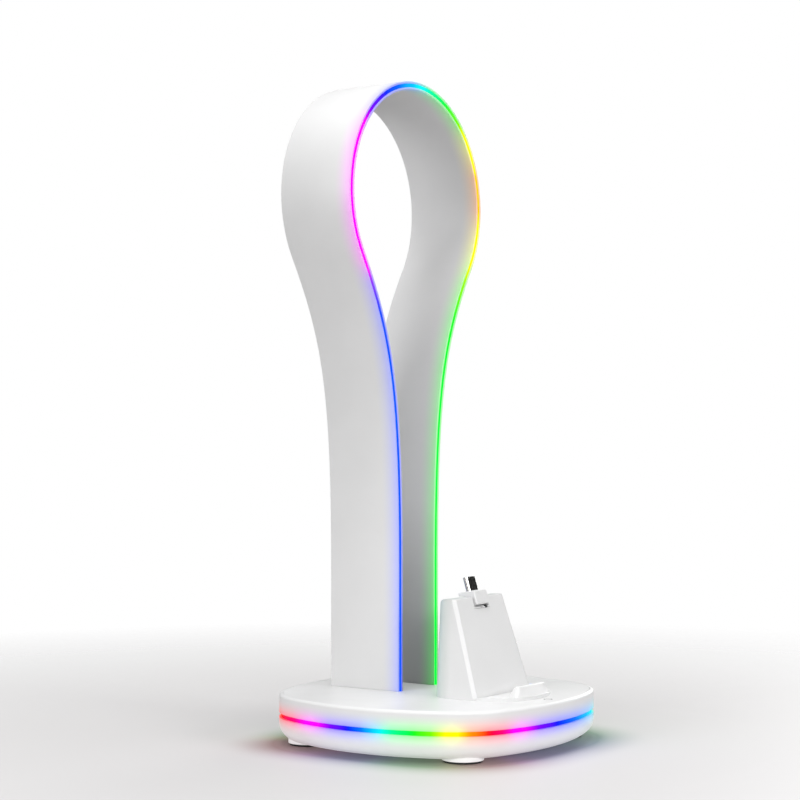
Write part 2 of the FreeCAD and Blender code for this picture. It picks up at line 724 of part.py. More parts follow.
def seat_plan(inset, z0, z1):
    """Tongue in front of the dock: sides that draw in, and a bowed front."""
    half = SEAT_FRONT_HALF - inset
    back = DOCK_FOOT_HALF - inset
    side_y = SEAT_FRONT + inset + SEAT_BOW
    bow = Part.Arc(Vector(-half, side_y, z0), Vector(0, SEAT_FRONT + inset, z0), Vector(half, side_y, z0))
    corners = [Vector(half, side_y, z0), Vector(back, INCLINE_FOOT_Y - 0.05, z0),
               Vector(-back, INCLINE_FOOT_Y - 0.05, z0), Vector(-half, side_y, z0)]
    outline = Part.Wire([bow.toShape()] + [Part.makeLine(a, b) for a, b in zip(corners, corners[1:])])
    plan = Part.Face(outline).extrude(Vector(0, 0, z1 - z0))
    return plan.makeFillet(4.0 - inset, edges_where(plan, lambda b: upright(b) and b.YMax < -45))


def dock_seat():
    """Shallow seat in front of the leaning face with a lip that stops a controller."""
    plate = seat_plan(0, BASE_TOP, BASE_TOP + SEAT_THICKNESS)
    groove = seat_plan(1.9, BASE_TOP + SEAT_THICKNESS - 0.5, BASE_TOP + 5)
    plate = plate.cut(groove.common(box(-30, 30, LIP_BACK, -30, BASE_TOP, BASE_TOP + 5)))
    lip = dock_lip().common(seat_plan(0, BASE_TOP, BASE_TOP + 10))
    return fuse_all([plate, lip]).cut(
        [cylinder(DOCK_SCREW_RADIUS + 0.02, x, y, BASE_TOP - 1, BASE_TOP + 4)
         for x, y in DOCK_SCREW_PLACES[2:]]
        + [cylinder(0.72, 0, LIP_RIDGE_Y, BASE_TOP + 3.0, BASE_TOP + 10)])


LIP_RIDGE_Y = -51.2


def lip_outline(front_half, back_half, front, side_front, back, z):
    """Closed outline of the lip at a height: a bowed front, and ends that draw in to the back."""
    bow = Part.Arc(Vector(-front_half, side_front, z), Vector(0, front, z),
                   Vector(front_half, side_front, z)).toShape()
    corners = [Vector(front_half, side_front, z), Vector(back_half, back, z),
               Vector(-back_half, back, z), Vector(-front_half, side_front, z)]
    return Part.Wire([bow] + [Part.makeLine(a, b) for a, b in zip(corners, corners[1:])])


def dock_lip():
    """Low bar across the seat: bowed sloping front, sloping ends and a rounded ridge."""
    top = BASE_TOP + LIP_HEIGHT
    foot = lip_outline(LIP_FOOT_HALF, LIP_BACK_HALF, SEAT_FRONT + 0.2, -52.4, LIP_BACK, BASE_TOP)
    ridge = lip_outline(LIP_TOP_HALF, LIP_TOP_HALF, LIP_RIDGE_Y - 1.2, LIP_RIDGE_Y - 0.9,
                        LIP_RIDGE_Y + 1.2, top)
    bar = Part.makeLoft([foot, ridge], True, True)
    ends = edges_where(bar, lambda b: b.ZLength > LIP_HEIGHT - 0.5)
    bar = bar.makeFillet(1.8, [e for e in ends if e.BoundBox.YMin < -51.5])
    return bar.makeFillet(0.8, edges_where(bar, lambda b: b.ZMin > top - 0.01))


def dock_indicator():
    lens = cylinder(0.7, 0, LIP_RIDGE_Y, BASE_TOP + 3.0, BASE_TOP + LIP_HEIGHT + 0.1)
    return lens.makeFillet(0.2, edges_where(lens, flat_at(BASE_TOP + LIP_HEIGHT + 0.1)))


def dock_screws():
    tips = (BASE_TOP + 8, BASE_TOP + 8, BASE_TOP + 3.5, BASE_TOP + 3.5)
    return Part.makeCompound([
        pan_screw(DOCK_SCREW_RADIUS, 2.3, 1.4, x, y, PLATE_BOTTOM - 1.4, tip)
        for (x, y), tip in zip(DOCK_SCREW_PLACES, tips)
    ])


# ---- lift-off plug adapter ---------------------------------------------------------
DONGLE_WALL = 0.85
PLUG_ROOT = 1.0
DONGLE_FLOOR = BASE_TOP + DOCK_HEIGHT + 0.05
COVER_THICKNESS = 0.5


def dongle_slab(inset, along0, front):
    """Adapter outline whose top rises slightly towards the back, less an inset."""
    head = DONGLE_HEAD - inset
    back = DONGLE_BACK + inset
    half = DONGLE_HALF_WIDTH - inset
    corners = [on_incline(-half, along0, front), on_incline(-half, head, front),
               on_incline(-half, head + DONGLE_TOP_RISE, back), on_incline(-half, along0, back)]
    return prism(corners, Vector(2 * half, 0, 0))


def dongle_block():
    block = dongle_slab(0, DONGLE_HOOK_FOOT, DONGLE_FRONT)
    block = block.makeFillet(0.7, [e for e in block.Edges if dongle_edge_is_round(e)])
    below = box(-20, 20, -40, 0, BASE_TOP, DONGLE_FLOOR)
    behind_hook = leaning_box(20, 0, 80, -40, HOOK_BACK)
    return block.cut(below.common(behind_hook))


def dongle_edge_is_round(edge):
    """The upright and top edges that a finger touches."""
    middle = edge.valueAt((edge.FirstParameter + edge.LastParameter) / 2) - INCLINE_FOOT
    along = middle.dot(INCLINE_UP)
    out = middle.dot(INCLINE_OUT)
    top_edge = along > DONGLE_HEAD - 0.01
    front_side = abs(out - DONGLE_FRONT) < 0.01
    back_side = abs(out - DONGLE_BACK) < 0.01 and abs(middle.x) > 1
    return top_edge or front_side or back_side


def dongle_cavity():
    room = dongle_slab(DONGLE_WALL, 40, HOOK_BACK + 0.6)
    return room.common(box(-20, 20, -40, 0, DONGLE_FLOOR, DONGLE_FLOOR + 10)).cut(
        leaning_box(20, 0, 80, HOOK_BACK - 0.05, 5).common(box(-20, 20, -40, 0, 0, DONGLE_FLOOR + 0.8)))


def dongle_housing():
    body = dongle_block().cut(dongle_cavity())
    root = leaning_stadium(
        PLUG_WIDTH, PLUG_HEIGHT, DONGLE_HEAD - PLUG_ROOT, DONGLE_HEAD + 1, PLUG_CENTRE_OUT)
    pads = dongle_pads(0.0)
    return body.cut([root] + pads)


def dongle_cover():
    """Thin plate that closes the adapter from below."""
    room = dongle_cavity()
    return room.common(box(-20, 20, -40, 0, DONGLE_FLOOR, DONGLE_FLOOR + COVER_THICKNESS))


def dongle_keeper():
    """Steel strip that the dock's magnets pull on."""
    z0 = DONGLE_FLOOR + COVER_THICKNESS
    return box(-4.4, 4.4, -18.5, -17.2, z0, z0 + 0.3)


def dongle_pads(gap):
    pads = []
    for x in (-CONTACT_X, CONTACT_X):
        start = on_incline(x, CONTACT_ALONG, HOOK_BACK)
        pads.append(Part.makeCylinder(1.0 - gap, 0.5, start, INCLINE_OUT))
    return pads


def dongle_contacts():
    return Part.makeCompound(dongle_pads(0.0))


def plug_shell():
    outer = leaning_stadium(
        PLUG_WIDTH, PLUG_HEIGHT, DONGLE_HEAD - PLUG_ROOT, DONGLE_HEAD + PLUG_LENGTH, PLUG_CENTRE_OUT)
    tip = [e for e in outer.Edges
           if abs((e.CenterOfMass - INCLINE_FOOT).dot(INCLINE_UP) - DONGLE_HEAD - PLUG_LENGTH) < 0.01]
    outer = outer.makeFillet(0.2, tip)
    wall = 0.6
    inner = leaning_stadium(
        PLUG_WIDTH - wall, PLUG_HEIGHT - wall, DONGLE_HEAD - 3, DONGLE_HEAD + PLUG_LENGTH + 1,
        PLUG_CENTRE_OUT)
    return outer.cut(inner)


def plug_insert():
    """Insulator inside the plug, with the slot that receives the socket's tongue."""
    wall = 0.6
    block = leaning_stadium(
        PLUG_WIDTH - wall, PLUG_HEIGHT - wall, DONGLE_HEAD - PLUG_ROOT, DONGLE_HEAD + PLUG_LENGTH - 0.4,
        PLUG_CENTRE_OUT)
    slot = leaning_stadium(
        6.9, 0.9, DONGLE_HEAD + 1.2, DONGLE_HEAD + PLUG_LENGTH + 1, PLUG_CENTRE_OUT)
    return block.cut(slot)


PARTS = {
    "base_bottom_shell": base_bottom_shell,
    "base_top_shell": base_top_shell,
    "base_top_panel": base_top_panel,
    "light_ring": light_ring,
    "ring_led_tape": ring_led_tape,
    "ring_leds": ring_leds,
    "ballast_plate": ballast_plate,
    "base_screws": base_screws,
    "power_socket_shell": power_socket_shell,
    "power_socket_tongue": power_socket_tongue,
    "power_board": power_board,
    "main_board": main_board,
    "main_board_chips": main_board_chips,
    "board_posts": board_posts,
    "board_screws": board_screws,
    "touch_mark": touch_mark,
    "touch_sensor": touch_sensor,
    "post_bracket": post_bracket,
    "bracket_screws": bracket_screws,
    "leg_screws": leg_screws,
    "loop_outer_skin": loop_outer_skin,
    "loop_inner_skin": loop_inner_skin,
    "loop_core": loop_core,
    "loop_light_strip": loop_light_strip,
    "loop_led_tape": loop_led_tape,
    "loop_leds": loop_leds,
    "dock_shell": dock_shell,
    "dock_face_panel": dock_face_panel,
    "dock_pocket": dock_pocket,
    "dock_contacts": dock_contacts,
    "dock_magnets": dock_magnets,
    "dock_board": dock_board,
    "dock_seat": dock_seat,
    "dock_indicator": dock_indicator,
    "dock_screws": dock_screws,
    "dongle_housing": dongle_housing,
    "dongle_cover": dongle_cover,
    "dongle_keeper": dongle_keeper,
    "dongle_contacts": dongle_contacts,
    "plug_shell": plug_shell,
    "plug_insert": plug_insert,
}

os.makedirs("parts", exist_ok=True)
for name, build in PARTS.items():
    build().exportStep("parts/" + name + ".step")
for place, (foot_x, foot_y) in FOOT_PLACES.items():
    foot_pad(foot_x, foot_y).exportStep("parts/foot_pad_" + place + ".step")
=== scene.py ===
import math

import bmesh
import bpy
from mathutils import Matrix, Vector


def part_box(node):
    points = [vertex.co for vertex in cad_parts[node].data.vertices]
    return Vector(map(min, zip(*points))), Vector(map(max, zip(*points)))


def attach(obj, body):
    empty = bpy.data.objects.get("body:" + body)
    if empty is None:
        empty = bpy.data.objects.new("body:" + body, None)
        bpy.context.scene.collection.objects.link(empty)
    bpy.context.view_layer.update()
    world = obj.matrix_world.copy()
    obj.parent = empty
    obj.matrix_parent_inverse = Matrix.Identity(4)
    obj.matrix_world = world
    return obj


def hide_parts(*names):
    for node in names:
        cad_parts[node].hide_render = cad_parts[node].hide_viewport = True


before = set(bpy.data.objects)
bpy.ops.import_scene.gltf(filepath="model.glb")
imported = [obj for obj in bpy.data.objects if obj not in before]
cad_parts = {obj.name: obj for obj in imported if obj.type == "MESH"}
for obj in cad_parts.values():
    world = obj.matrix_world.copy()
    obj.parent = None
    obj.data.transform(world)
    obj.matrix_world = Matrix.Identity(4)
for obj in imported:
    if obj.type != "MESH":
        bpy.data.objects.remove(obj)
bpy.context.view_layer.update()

bl_info = {
    "name": "Headphone Stand",
    "version": (1, 0, 0),
    "blender": (4, 5, 0),
    "location": "View3D > Sidebar > Stand",
    "description": "Builds the finishes, light strips and detail pieces of a lit headphone stand",
    "category": "Add Mesh",
}

MM = 0.001
STAND = "stand"
ADAPTER = "adapter"

# Places that come from the frame.
SKIN_LOW, SKIN_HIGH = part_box("loop_outer_skin")
RING_LOW, RING_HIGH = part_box("light_ring")
BASE_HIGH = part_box("base_top_shell")[1]
DOCK_LOW, DOCK_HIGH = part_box("dock_shell")

# The loop's own geometry: a straight leg, a smooth flank and a round crown.
RIBBON_HALF = 2.0 * MM
SKIN = 1.1 * MM
STRIP_HALF = RIBBON_HALF - SKIN
LEG_X = 15.2 * MM
LOOP_RADIUS = 54.3 * MM
LOOP_CENTRE_Z = SKIN_HIGH.z - LOOP_RADIUS - RIBBON_HALF
LEG_TOP_Z = BASE_HIGH.z + 56.6 * MM
FLANK_ANGLE = math.radians(31.9)
FLANK_LOWER_PULL = 85.8 * MM
FLANK_UPPER_PULL = 44.4 * MM
FLANK_STEPS = 28
CROWN_STEPS = 48

# The dock's leaning face: from its foot to its head, and how far it leans back.
FACE_FOOT = Vector((0, DOCK_LOW.y, DOCK_LOW.z))
LEAN = math.radians(16.94)
UP_FACE = Vector((0, math.sin(LEAN), math.cos(LEAN)))
OUT_OF_FACE = Vector((0, -math.cos(LEAN), math.sin(LEAN)))

# The small dark lens in the dock's pocket, by its place on the leaning face.
LENS_ASIDE = 3.3 * MM
LENS_UP_FACE = 42.6 * MM
LENS_RADIUS = 0.75 * MM
LENS_DEPTH = 1.0 * MM

# Radii of rounded edges, and the least angles between faces that make an edge sharp.
LENS_EDGE = 0.1 * MM
POCKET_EDGE = 0.12 * MM
PLUG_EDGE = 0.12 * MM
FACE_EDGE = 0.15 * MM
STRIP_EDGE = 0.25 * MM
RING_EDGE = 0.3 * MM
SHADED_EDGE = 0.35 * MM
SHARP_RIBBON_EDGE = math.radians(50)
SHARP_NODE_EDGE = math.radians(28)

# The light strip stands free of the skins and a little behind their front edge.
STRIP_CLEARANCE = 0.02 * MM
STRIP_SET_BACK = 0.12 * MM

# Points closer than these are one point: along a swept ribbon, and on a CAD node's seams.
RIBBON_MERGE = 0.001 * MM
SEAM_MERGE = 0.002 * MM

# Painted lamp light in the shells: shares of the lamp colour painted into their colour, and shares of the
# glow setting for their painted glow.
BASE_PAINTED_TINT = 0.75
BASE_PAINTED_GLOW = 0.45
LOOP_PAINTED_TINT = 0.35
LOOP_PAINTED_GLOW = 0.25
LOOP_PAINTED_GLOW_REACH = 1.3
# Painted shade between the legs fades out at this height above the base.
GAP_SHADE_HEIGHT = 90 * MM
# Painted white bounce light on the base's wall: it starts at the first height and reaches its share at the
# second.
BASE_PAINTED_BOUNCE_START = 13 * MM
BASE_PAINTED_BOUNCE_END = 4 * MM
BASE_PAINTED_BOUNCE_SHARE = 0.7
# Painted green light on the dock's back: its colour, how far it reaches and its share.
DOCK_PAINTED_LIGHT = (0.02, 0.8, 0.3, 1.0)
DOCK_PAINTED_LIGHT_REACH = 15 * MM
DOCK_PAINTED_LIGHT_SHARE = 0.24

# The floor: its size, a painted contact shadow round the base with the ring's colours painted into it as
# painted light, and its fade into the backdrop, in metres.
FLOOR_SIZE = 30.0
FOOTPRINT_POWER = 3.1
FLOOR_PAINTED_SHADOW_REACH = 24 * MM
FLOOR_PAINTED_SHADOW_SHARE = 0.65
FLOOR_PAINTED_RING_LIGHT = 0.15
FADE_START = 0.16
FADE_END = 0.6

# Soft lights: name, place, diameter and share of the key light's power.
SOFT_LIGHTS = (
    ("left_light", (-1.4, 0.35, 0.55), 0.7, 0.65),
    ("front_light", (-0.1, -1.5, 0.6), 0.5, 0.7),
    ("corner_light", (-0.9, -0.9, 0.5), 0.5, 0.28),
    ("top_light", (-0.1, 0, 1.6), 0.9, 1.3),
    ("right_light", (1.4, 0.1, 0.5), 0.7, 0.5),
)
LIGHT_AIM = Vector((0, 0, 0.12))

# Surroundings: grey low down and white above, with a dark card to the camera's right.
# Each row holds the input's two ends, then the levels at those ends.
SKY_LEVELS = (-0.3, 0.5, 0.45, 1.0)
CARD_LEVELS = (0.86, 0.93, 1.0, 0.03)
CARD_DIRECTION = Vector((0.82, -0.5, 0.25)).normalized()

# The camera is level; its heading is in radians from +X towards +Y.
CAMERA_PLACE = (-0.7530, -0.4956, 0.1405)
CAMERA_HEADING = 0.602
CAMERA_SHIFT = 0.0561

# Lamp colours, as display values from 0 to 255. A linear channel above FULL_CHANNEL is driven fully.
FULL_CHANNEL = 0.75
RED = (242, 4, 24)
ROSE = (240, 2, 129)
MAGENTA = (232, 3, 225)
VIOLET = (130, 2, 232)
BLUE = (6, 24, 240)
AZURE = (2, 116, 236)
CYAN = (4, 209, 240)
MINT = (4, 241, 150)
GREEN = (8, 243, 30)
LIME = (120, 243, 4)
YELLOW = (240, 235, 4)
AMBER = (242, 157, 0)
ORANGE = (242, 80, 4)

# The ring's colours by bearing in degrees, counted from +X towards +Y.
RING_COLOURS = (
    (8, LIME), (20, YELLOW), (34, ORANGE), (44, RED), (58, MAGENTA), (72, BLUE), (86, CYAN),
    (100, GREEN), (112, LIME), (119, YELLOW), (128, ORANGE), (138, RED), (149, ROSE),
    (160, MAGENTA), (170, VIOLET), (178, BLUE), (184, AZURE), (189, CYAN), (197, MINT),
    (205, GREEN), (211, LIME), (218, YELLOW), (224, AMBER), (231, RED), (237, ROSE),
    (244, MAGENTA), (255, VIOLET), (267, BLUE), (282, AZURE), (297, CYAN), (322, MINT),
    (345, GREEN),
)

# The loop's colours by the turn from straight down, clockwise seen from the front.
LOOP_COLOURS = (
    (0, (0, 92, 245)), (14, (0, 96, 250)), (30, (30, 80, 250)), (43, (150, 60, 250)),
    (54, (235, 20, 235)), (90, (245, 10, 235)), (118, (225, 10, 240)), (134, VIOLET),
    (150, (20, 40, 245)), (162, (10, 110, 245)), (176, CYAN), (192, (10, 235, 170)),
    (206, (20, 245, 60)), (220, LIME), (236, (235, 240, 10)), (252, (245, 224, 5)),
    (270, (245, 216, 5)), (290, (235, 235, 10)), (312, (160, 250, 10)), (330, (30, 250, 40)),
    (346, (0, 250, 60)), (360, (0, 248, 80)),
)


# ---- settings ------------------------------------------------------------------------
class StandSettings(bpy.types.PropertyGroup):
    shell_colour: bpy.props.FloatVectorProperty(
        name="Shell colour", description="Colour of the white moulded shells",
        subtype="COLOR", size=3, min=0, max=1, default=(0.74, 0.74, 0.74))
    shell_roughness: bpy.props.FloatProperty(
        name="Shell roughness", description="Roughness of the satin shells",
        subtype="FACTOR", min=0, max=1, default=0.42)
    grain: bpy.props.FloatProperty(
        name="Grain", description="Size of the fine moulded texture",
        unit="LENGTH", default=0.35 * MM)
    rubber_colour: bpy.props.FloatVectorProperty(
        name="Rubber colour", description="Colour of the feet",
        subtype="COLOR", size=3, min=0, max=1, default=(0.018, 0.018, 0.019))
    lamp_strength: bpy.props.FloatProperty(
        name="Strip strength", description="Brightness of the loop's light strip",
        min=0, default=1.8)
    ring_strength: bpy.props.FloatProperty(
        name="Ring strength", description="Brightness of the base's light ring",
        min=0, default=1.4)
    # The two glow settings set the painted glow: lamp light painted into the shells' colour and emission
    # beside a lamp.
    painted_glow_reach: bpy.props.FloatProperty(
        name="Glow reach", description="How far light bleeds into the shells beside a lamp",
        unit="LENGTH", default=7.5 * MM)
    painted_glow_strength: bpy.props.FloatProperty(
        name="Glow strength", description="Brightness of the light that bleeds into the shells",
        min=0, default=0.9)
    edge_round: bpy.props.FloatProperty(
        name="Edge rounding", description="Radius of the loop's long edges",
        unit="LENGTH", default=0.3 * MM)


class StageSettings(bpy.types.PropertyGroup):
    floor_colour: bpy.props.FloatVectorProperty(
        name="Floor colour", description="Colour of the pale floor",
        subtype="COLOR", size=3, min=0, max=1, default=(0.62, 0.61, 0.61))
    backdrop: bpy.props.FloatProperty(
        name="Backdrop", description="Brightness of the white surroundings",
        min=0, default=1.0)
    room_light: bpy.props.FloatProperty(
        name="Room light", description="Brightness of the light that the surroundings give",
        min=0, default=0.38)
    key_power: bpy.props.FloatProperty(
        name="Key light", description="Power of the large soft light",
        unit="POWER", default=12.0)
    lens: bpy.props.FloatProperty(
        name="Lens", description="Focal length of the camera in millimetres",
        default=85.16)


# ---- material helpers ----------------------------------------------------------------
def to_linear(value):
    """Linear share from 0 to 1 of a display value from 0 to 255."""
    share = value / 255
    return share / 12.92 if share <= 0.04045 else ((share + 0.055) / 1.055) ** 2.4


def lamp_colour(display, strength):
    """Linear colour that shows as the display colour on a lamp of this strength."""
    linear = [to_linear(v) for v in display]
    return tuple(1.0 if v > FULL_CHANNEL else v / strength for v in linear) + (1.0,)


class Nodes:
    """Small helper that adds and links the nodes of one material."""

    def __init__(self, name):
        self.material = bpy.data.materials.new(name)
        self.material.use_nodes = True
        self.tree = self.material.node_tree
        self.shader = self.tree.nodes["Principled BSDF"]

    def add(self, kind, **values):
        node = self.tree.nodes.new(kind)
        for key, value in values.items():
            setattr(node, key, value)
        return node

    def link(self, source, target):
        self.tree.links.new(source, target)

    def feed(self, name, source):
        """Links a source to one of the shader's inputs."""
        self.link(source, self.shader.inputs[name])

    def feeding(self, name):
        """The output that feeds one of the shader's inputs."""
        return self.shader.inputs[name].links[0].from_socket

    def math(self, operation, first, second=None, clamp=False):
        node = self.add("ShaderNodeMath", operation=operation, use_clamp=clamp)
        for socket, value in zip(node.inputs, (first, second)):
            if value is None:
                continue
            if isinstance(value, (int, float)):
                socket.default_value = value
            else:
                self.link(value, socket)
        return node.outputs[0]

    def position(self):
        return self.add("ShaderNodeTexCoord").outputs["Object"]

    def axes(self):
        split = self.add("ShaderNodeSeparateXYZ")
        self.link(self.position(), split.inputs[0])
        return split.outputs

    def noise(self, size, detail=2.0, coordinates=None):
        node = self.add("ShaderNodeTexNoise")
        node.inputs["Scale"].default_value = 1 / size
        node.inputs["Detail"].default_value = detail
        self.link(coordinates or self.position(), node.inputs["Vector"])
        return node.outputs["Fac"]

    def between(self, value, low, high, from_low=0.3, from_high=0.7):
        node = self.add("ShaderNodeMapRange")
        for index, number in enumerate((from_low, from_high, low, high), start=1):
            node.inputs[index].default_value = number
        self.link(value, node.inputs[0])
        return node.outputs[0]

    def ramp(self, value, stops):
        node = self.add("ShaderNodeValToRGB")
        elements = node.color_ramp.elements
        elements[0].position, elements[0].color = stops[0]
        elements[1].position, elements[1].color = stops[-1]
        for place, colour in stops[1:-1]:
            elements.new(place).color = colour
        self.link(value, node.inputs[0])
        return node.outputs["Color"]

    def mix_colours(self, share, first, second):
        node = self.add("ShaderNodeMix", data_type="RGBA")
        sockets = (node.inputs[0], node.inputs[6], node.inputs[7])
        for socket, value in zip(sockets, (share, first, second)):
            if isinstance(value, (tuple, float)):
                socket.default_value = value
            else:
                self.link(value, socket)
        return node.outputs[2]

    def bump(self, height, distance, strength=1.0, soft_edge=None):
        node = self.add("ShaderNodeBump")
        if soft_edge:
            edge = self.add("ShaderNodeBevel", samples=4)
            edge.inputs["Radius"].default_value = soft_edge
            self.link(edge.outputs[0], node.inputs["Normal"])
        node.inputs["Strength"].default_value = strength
        node.inputs["Distance"].default_value = distance
        self.link(height, node.inputs["Height"])
        self.feed("Normal", node.outputs[0])

    def set(self, **values):
        for key, value in values.items():
            self.shader.inputs[key.replace("_", " ")].default_value = value

    def scaled(self, colour, share):
        node = self.add("ShaderNodeVectorMath", operation="SCALE")
        self.link(colour, node.inputs[0])
        self.link(share, node.inputs["Scale"])
        return node.outputs[0]


def colours_by_turn(nodes, rise, run, colours, strength):
    """Colour from a table by the angle whose tangent is rise over run."""
    turn = nodes.math("DIVIDE", nodes.math("ARCTAN2", rise, run), 2 * math.pi)
    share = nodes.math("FRACT", nodes.math("ADD", turn, 1.0))
    stops = [(angle / 360, lamp_colour(colour, strength)) for angle, colour in colours]
    return nodes.ramp(share, stops)


def ring_light(nodes, strength):
    """Colour of the light ring at a point, by its bearing round the base."""
    x, y, _ = nodes.axes()
    return colours_by_turn(nodes, y, x, RING_COLOURS, strength)


def loop_light(nodes, strength):
    """Colour of the loop's light strip at a point, by its turn round the crown's centre."""
    x, _, z = nodes.axes()
    drop = nodes.math("SUBTRACT", LOOP_CENTRE_Z, z)
    return colours_by_turn(nodes, nodes.math("MULTIPLY", x, -1.0), drop, LOOP_COLOURS, strength)


def falloff(nodes, distance, reach):
    """1 at the lamp, falling smoothly to 0 at the reach."""
    near = nodes.math("SUBTRACT", 1.0, nodes.math("DIVIDE", distance, reach), clamp=True)
    return nodes.math("POWER", near, 2.0)


def satin_plastic(name, colour, roughness, grain):
    """White moulded plastic: fine grain, a little unevenness in gloss and tone."""
    nodes = Nodes(name)
    cloud = nodes.noise(28 * MM, detail=3.0)
    tones = [tuple(c * share for c in colour) + (1.0,) for share in (0.985, 1.015)]
    nodes.feed("Base Color", nodes.mix_colours(nodes.between(cloud, 0, 1), *tones))
    smear = nodes.noise(9 * MM, detail=4.0)
    nodes.feed("Roughness", nodes.between(smear, roughness - 0.04, roughness + 0.05))
    nodes.bump(nodes.noise(grain, detail=1.0), distance=0.012 * MM, strength=0.35, soft_edge=SHADED_EDGE)
    nodes.set(IOR=1.5)
    return nodes


def settings():
    return bpy.context.scene.stand_settings


def shell_nodes(name):
    chosen = settings()
    return satin_plastic(name, tuple(chosen.shell_colour), chosen.shell_roughness, chosen.grain)


def paint_lamp_glow(nodes, share, colour, tint, strength):
    """Paints a lamp's light into the shell: it mixes the lamp's colour into the plastic's colour and gives
    the shell a painted glow.
    """
    painted_glow_share = nodes.math("MULTIPLY", share, tint)
    nodes.feed("Base Color", nodes.mix_colours(painted_glow_share, nodes.feeding("Base Color"), colour))
    nodes.feed("Emission Color", nodes.scaled(colour, share))
    nodes.set(Emission_Strength=strength)


def shell_plastic():
    return shell_nodes("shell_plastic").material


def base_plastic():
    """Shell plastic with the light ring's glow painted into its colour and emission, and a painted white
    bounce glow that grows towards the base's foot.
    """
    chosen = settings()
    nodes = shell_nodes("base_plastic")
    z = nodes.axes()[2]
    middle = (RING_LOW.z + RING_HIGH.z) / 2
    away = nodes.math("ABSOLUTE", nodes.math("SUBTRACT", z, middle))
    share = falloff(nodes, away, chosen.painted_glow_reach + RING_HIGH.z - middle)
    colour = ring_light(nodes, chosen.ring_strength)
    paint_lamp_glow(nodes, share, colour, BASE_PAINTED_TINT, chosen.painted_glow_strength * BASE_PAINTED_GLOW)
    # Painted bounce light: white emission painted in, stronger towards the base's foot.
    painted_bounce = nodes.between(z, 0.0, BASE_PAINTED_BOUNCE_SHARE, BASE_PAINTED_BOUNCE_START, BASE_PAINTED_BOUNCE_END)
    glow = nodes.mix_colours(painted_bounce, nodes.feeding("Emission Color"), (1.0, 1.0, 1.0, 1.0))
    nodes.feed("Emission Color", glow)
    return nodes.material


def loop_plastic(name, painted_shade_low):
    """Shell plastic with the light strip's glow painted into its colour and emission along the ribbon's
    front edge.

    The second argument is the painted shade: how dark the colour is painted between the legs, close to the
    base.
    """
    chosen = settings()
    nodes = shell_nodes(name)
    _, y, z = nodes.axes()
    # Painted shade: the colour is scaled darker towards the base.
    tone = nodes.between(z, painted_shade_low, 1.0, BASE_HIGH.z, BASE_HIGH.z + GAP_SHADE_HEIGHT)
    nodes.feed("Base Color", nodes.scaled(nodes.feeding("Base Color"), tone))
    away = nodes.math("SUBTRACT", y, SKIN_LOW.y)
    share = falloff(nodes, away, LOOP_PAINTED_GLOW_REACH * chosen.painted_glow_reach)
    colour = loop_light(nodes, chosen.lamp_strength)
    paint_lamp_glow(nodes, share, colour, LOOP_PAINTED_TINT, chosen.painted_glow_strength * LOOP_PAINTED_GLOW)
    return nodes.material


def dock_plastic():
    """Shell plastic with painted green light from the leg behind it: its back's colour is mixed towards
    green.
    """
    nodes = shell_nodes("dock_plastic")
    # Painted light: the colour turns green close to the dock's back.
    away = nodes.math("SUBTRACT", DOCK_HIGH.y, nodes.axes()[1])
    share = nodes.math("MULTIPLY", falloff(nodes, away, DOCK_PAINTED_LIGHT_REACH), DOCK_PAINTED_LIGHT_SHARE)
    nodes.feed("Base Color", nodes.mix_colours(share, nodes.feeding("Base Color"), DOCK_PAINTED_LIGHT))
    return nodes.material


def diffuser(name, light, strength):
    """Milky light diffuser: coloured light with a faint ripple in its brightness."""
    nodes = Nodes(name)
    nodes.set(Base_Color=(0.0, 0.0, 0.0, 1), Roughness=0.5, Specular_IOR_Level=0.03,
              Emission_Strength=strength)
    ripple = nodes.between(nodes.noise(3 * MM), 0.9, 1.06)
    nodes.feed("Emission Color", nodes.scaled(light(nodes, strength), ripple))
    return nodes.material


def rubber():
    """Dull rubber with a dusty tone in places."""
    nodes = Nodes("rubber")
    speck = nodes.noise(0.25 * MM)
    tone = nodes.between(nodes.noise(6 * MM), 0.0, 1.0)
    colour = tuple(settings().rubber_colour)
    dusty = tuple(c + 0.012 for c in colour)
    nodes.feed("Base Color", nodes.mix_colours(tone, colour + (1.0,), dusty + (1.0,)))
    nodes.feed("Roughness", nodes.between(speck, 0.7, 0.9))
    nodes.bump(speck, distance=0.02 * MM, strength=0.6)
    return nodes.material


def speckled(name, noise, tones, gloss, gloss_noise=None):
    """Material whose colour runs between two tones and its roughness between two values."""
    nodes = Nodes(name)
    speck = nodes.noise(*noise)
    nodes.feed("Base Color", nodes.mix_colours(nodes.between(speck, 0, 1), *(tone + (1,) for tone in tones)))
    patches = nodes.noise(*gloss_noise) if gloss_noise else speck
    nodes.feed("Roughness", nodes.between(patches, *gloss))
    return nodes, speck


def black_plastic():
    tones = ((0.012, 0.012, 0.013), (0.022, 0.022, 0.024))
    nodes, speck = speckled("black_plastic", (0.3 * MM,), tones, (0.38, 0.52), gloss_noise=(2 * MM,))
    nodes.bump(speck, distance=0.01 * MM, strength=0.4)
    return nodes.material


def metal(name, colour, roughness, streak):
    """Plated, cast or brushed metal; streak scales its fine marks along each axis."""
    nodes = Nodes(name)
    stretch = nodes.add("ShaderNodeMapping")
    stretch.inputs["Scale"].default_value = streak
    nodes.link(nodes.position(), stretch.inputs["Vector"])
    marks = nodes.noise(0.4 * MM, detail=3.0, coordinates=stretch.outputs[0])
    shades = [tuple(c * share for c in colour) + (1.0,) for share in (0.9, 1.0)]
    nodes.feed("Base Color", nodes.mix_colours(nodes.between(marks, 0, 1), *shades))
    nodes.feed("Roughness", nodes.between(marks, roughness, roughness + 0.12))
    nodes.bump(marks, distance=0.004 * MM, strength=0.3)
    nodes.set(Metallic=1.0)
    return nodes.material


